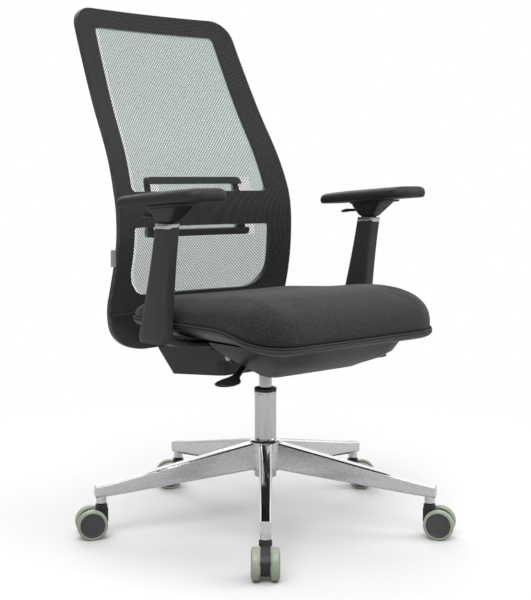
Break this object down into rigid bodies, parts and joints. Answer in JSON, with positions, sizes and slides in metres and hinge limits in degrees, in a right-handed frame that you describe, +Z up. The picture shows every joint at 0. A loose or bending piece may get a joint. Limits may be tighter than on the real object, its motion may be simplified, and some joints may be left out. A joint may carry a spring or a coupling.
{
  "type": "swivel office chair",
  "caption": "Height-adjustable swivel chair with a curved mesh back, padded seat, sliding lumbar support, armrests on leaning posts and a star base on twin-wheel casters.",
  "frame": {"origin": "middle of the chair's footprint, on the floor", "axes": "+Z up; the sitter faces -Y, with the right hand at -X"},
  "size_m": [0.7487, 0.7467, 1.063],
  "materials": {
    "polished_aluminium": "polished top faces, satin sides",
    "chrome": "mirror chrome",
    "bright_steel": "zinc plated",
    "dark_painted_steel": "dark grey powder coat",
    "black_plastic": "black, fine moulded grain",
    "shell_plastic": "dark grey, fine moulded grain",
    "soft_pad": "soft black polyurethane",
    "tyre": "sage grey soft tread on a dark grey disc",
    "seat_fabric": "charcoal melange weave over foam",
    "mesh_fabric": "fine open knit mesh, black over pale",
    "plywood": "raw moulded plywood",
    "label": "blank grey woven tab"
  },
  "bodies": {
    "base": {"star_base": "polished_aluminium", "column_tube": "chrome", "guide_bush": "black_plastic", "thrust_bearing": "bright_steel"},
    "caster_1": {"caster_1_hood": "black_plastic", "caster_1_axle": "bright_steel"},
    "caster_1_left": {"caster_1_wheel_left": "tyre"},
    "caster_1_right": {"caster_1_wheel_right": "tyre"},
    "caster_2": {"caster_2_hood": "black_plastic", "caster_2_axle": "bright_steel"},
    "caster_2_left": {"caster_2_wheel_left": "tyre"},
    "caster_2_right": {"caster_2_wheel_right": "tyre"},
    "caster_3": {"caster_3_hood": "black_plastic", "caster_3_axle": "bright_steel"},
    "caster_3_left": {"caster_3_wheel_left": "tyre"},
    "caster_3_right": {"caster_3_wheel_right": "tyre"},
    "caster_4": {"caster_4_hood": "black_plastic", "caster_4_axle": "bright_steel"},
    "caster_4_left": {"caster_4_wheel_left": "tyre"},
    "caster_4_right": {"caster_4_wheel_right": "tyre"},
    "caster_5": {"caster_5_hood": "black_plastic", "caster_5_axle": "bright_steel"},
    "caster_5_left": {"caster_5_wheel_left": "tyre"},
    "caster_5_right": {"caster_5_wheel_right": "tyre"},
    "spindle": {"piston_rod": "bright_steel", "retaining_clip": "bright_steel"},
    "upper": {"gas_cylinder": "chrome", "mechanism_housing": "dark_painted_steel", "recline_pin": "bright_steel", "front_pin": "bright_steel", "recline_spring": "bright_steel", "height_lever_pin": "bright_steel", "tilt_lock_lever_pin": "bright_steel"},
    "valve": {"valve_button": "bright_steel"},
    "height_lever": {"height_lever": "black_plastic"},
    "tilt_lock_lever": {"tilt_lock_lever": "black_plastic"},
    "seat": {"seat_plate": "dark_painted_steel", "seat_shell": "shell_plastic", "seat_cowl": "shell_plastic", "seat_pan": "plywood", "seat_cushion": "seat_fabric", "right_arm_post": "shell_plastic", "right_arm_collar": "chrome", "left_arm_post": "shell_plastic", "left_arm_collar": "chrome"},
    "back": {"back_carrier": "black_plastic", "back_frame": "black_plastic", "back_mesh": "mesh_fabric", "side_label": "label"},
    "lumbar": {"lumbar_support": "black_plastic"},
    "right_riser": {"right_arm_riser": "black_plastic"},
    "right_button": {"right_arm_button": "shell_plastic"},
    "right_plate": {"right_pad_plate": "black_plastic"},
    "right_pad": {"right_arm_pad": "soft_pad"},
    "left_riser": {"left_arm_riser": "black_plastic"},
    "left_button": {"left_arm_button": "shell_plastic"},
    "left_plate": {"left_pad_plate": "black_plastic"},
    "left_pad": {"left_arm_pad": "soft_pad"}
  },
  "joints": [
    {"name": "caster_1_swivel", "type": "hinge", "parent": "base", "child": "caster_1", "pos_m": [-0.2364, -0.27727, 0.075], "axis": [0, 0, 1], "continuous": true},
    {"name": "caster_1_roll_left", "type": "hinge", "parent": "caster_1", "child": "caster_1_left", "pos_m": [-0.24979, -0.29213, 0.03], "axis": [0.7431, -0.6691, 0], "continuous": true},
    {"name": "caster_1_roll_right", "type": "hinge", "parent": "caster_1", "child": "caster_1_right", "pos_m": [-0.24979, -0.29213, 0.03], "axis": [0.7431, -0.6691, 0], "continuous": true},
    {"name": "caster_2_swivel", "type": "hinge", "parent": "base", "child": "caster_2", "pos_m": [0.1611, -0.31905, 0.075], "axis": [0, 0, 1], "continuous": true},
    {"name": "caster_2_roll_left", "type": "hinge", "parent": "caster_2", "child": "caster_2_left", "pos_m": [0.17199, -0.33582, 0.03], "axis": [0.8387, 0.5446, 0], "continuous": true},
    {"name": "caster_2_roll_right", "type": "hinge", "parent": "caster_2", "child": "caster_2_right", "pos_m": [0.17199, -0.33582, 0.03], "axis": [0.8387, 0.5446, 0], "continuous": true},
    {"name": "caster_3_swivel", "type": "hinge", "parent": "base", "child": "caster_3", "pos_m": [0.32367, 0.04609, 0.075], "axis": [0, 0, 1], "continuous": true},
    {"name": "caster_3_roll_left", "type": "hinge", "parent": "caster_3", "child": "caster_3_left", "pos_m": [0.33705, 0.03123, 0.03], "axis": [0.7431, 0.6691, 0], "continuous": true},
    {"name": "caster_3_roll_right", "type": "hinge", "parent": "caster_3", "child": "caster_3_right", "pos_m": [0.33705, 0.03123, 0.03], "axis": [0.7431, 0.6691, 0], "continuous": true},
    {"name": "caster_4_swivel", "type": "hinge", "parent": "base", "child": "caster_4", "pos_m": [0.02664, 0.31354, 0.075], "axis": [0, 0, 1], "continuous": true},
    {"name": "caster_4_roll_left", "type": "hinge", "parent": "caster_4", "child": "caster_4_left", "pos_m": [0.01006, 0.32472, 0.03], "axis": [-0.5592, -0.829, 0], "continuous": true},
    {"name": "caster_4_roll_right", "type": "hinge", "parent": "caster_4", "child": "caster_4_right", "pos_m": [0.01006, 0.32472, 0.03], "axis": [-0.5592, -0.829, 0], "continuous": true},
    {"name": "caster_5_swivel", "type": "hinge", "parent": "base", "child": "caster_5", "pos_m": [-0.31951, 0.11369, 0.075], "axis": [0, 0, 1], "continuous": true},
    {"name": "caster_5_roll_left", "type": "hinge", "parent": "caster_5", "child": "caster_5_left", "pos_m": [-0.33733, 0.12277, 0.03], "axis": [-0.454, -0.891, 0], "continuous": true},
    {"name": "caster_5_roll_right", "type": "hinge", "parent": "caster_5", "child": "caster_5_right", "pos_m": [-0.33733, 0.12277, 0.03], "axis": [-0.454, -0.891, 0], "continuous": true},
    {"name": "seat_swivel", "type": "hinge", "parent": "base", "child": "spindle", "pos_m": [-0.0089, -0.0246, 0.2], "axis": [0, 0, 1], "continuous": true},
    {"name": "seat_height", "type": "slide", "parent": "spindle", "child": "upper", "axis": [0, 0, 1], "range_m": [0, 0.1]},
    {"name": "height_lever_lift", "type": "hinge", "parent": "upper", "child": "height_lever", "pos_m": [-0.0769, -0.0546, 0.339], "axis": [0, 1, 0], "range_deg": [0, 8], "stiffness_Nm_per_rad": 0.6, "springref_deg": -17.19},
    {"name": "valve_press", "type": "slide", "parent": "upper", "child": "valve", "axis": [0, 0, -1], "range_m": [0, 0.0031]},
    {"name": "tilt_lock_lift", "type": "hinge", "parent": "upper", "child": "tilt_lock_lever", "pos_m": [0.0591, -0.0546, 0.339], "axis": [0, -1, 0], "range_deg": [-8, 0]},
    {"name": "back_recline", "type": "hinge", "parent": "upper", "child": "back", "pos_m": [-0.0089, 0.0104, 0.346], "axis": [-1, 0, 0], "range_deg": [0, 20], "stiffness_Nm_per_rad": 50, "springref_deg": -31.51},
    {"name": "seat_tilt", "type": "hinge", "parent": "upper", "child": "seat", "pos_m": [-0.0089, -0.1346, 0.36], "axis": [-1, 0, 0], "range_deg": [0, 6.01]},
    {"name": "lumbar_slide", "type": "slide", "parent": "back", "child": "lumbar", "axis": [0, 0.0995, 0.995], "range_m": [-0.013, 0.005]},
    {"name": "right_arm_height", "type": "slide", "parent": "seat", "child": "right_riser", "axis": [0, -0.1827, 0.9832], "range_m": [0, 0.075]},
    {"name": "right_arm_trigger", "type": "slide", "parent": "right_riser", "child": "right_button", "axis": [0, 0, 1], "range_m": [0, 0.004], "stiffness_N_per_m": 400, "springref_m": -0.004},
    {"name": "right_pad_turn", "type": "hinge", "parent": "right_riser", "child": "right_plate", "pos_m": [-0.2789, -0.0626, 0.657], "axis": [0, 0.0976, 0.9952], "range_deg": [-15, 15]},
    {"name": "right_pad_slide", "type": "slide", "parent": "right_plate", "child": "right_pad", "axis": [0, -0.9952, 0.0976], "range_m": [-0.025, 0.025]},
    {"name": "left_arm_height", "type": "slide", "parent": "seat", "child": "left_riser", "axis": [0, -0.1827, 0.9832], "range_m": [0, 0.075]},
    {"name": "left_arm_trigger", "type": "slide", "parent": "left_riser", "child": "left_button", "axis": [0, 0, 1], "range_m": [0, 0.004], "stiffness_N_per_m": 400, "springref_m": -0.004},
    {"name": "left_pad_turn", "type": "hinge", "parent": "left_riser", "child": "left_plate", "pos_m": [0.2611, -0.0626, 0.657], "axis": [0, 0.0976, 0.9952], "range_deg": [-15, 15]},
    {"name": "left_pad_slide", "type": "slide", "parent": "left_plate", "child": "left_pad", "axis": [0, -0.9952, 0.0976], "range_m": [-0.025, 0.025]}
  ],
  "couplings": [
    {"joint": "seat_tilt", "follows": "back_recline", "ratio": 0.3},
    {"joint": "valve_press", "follows": "height_lever_lift", "m_per_rad": 0.0215}
  ]
}
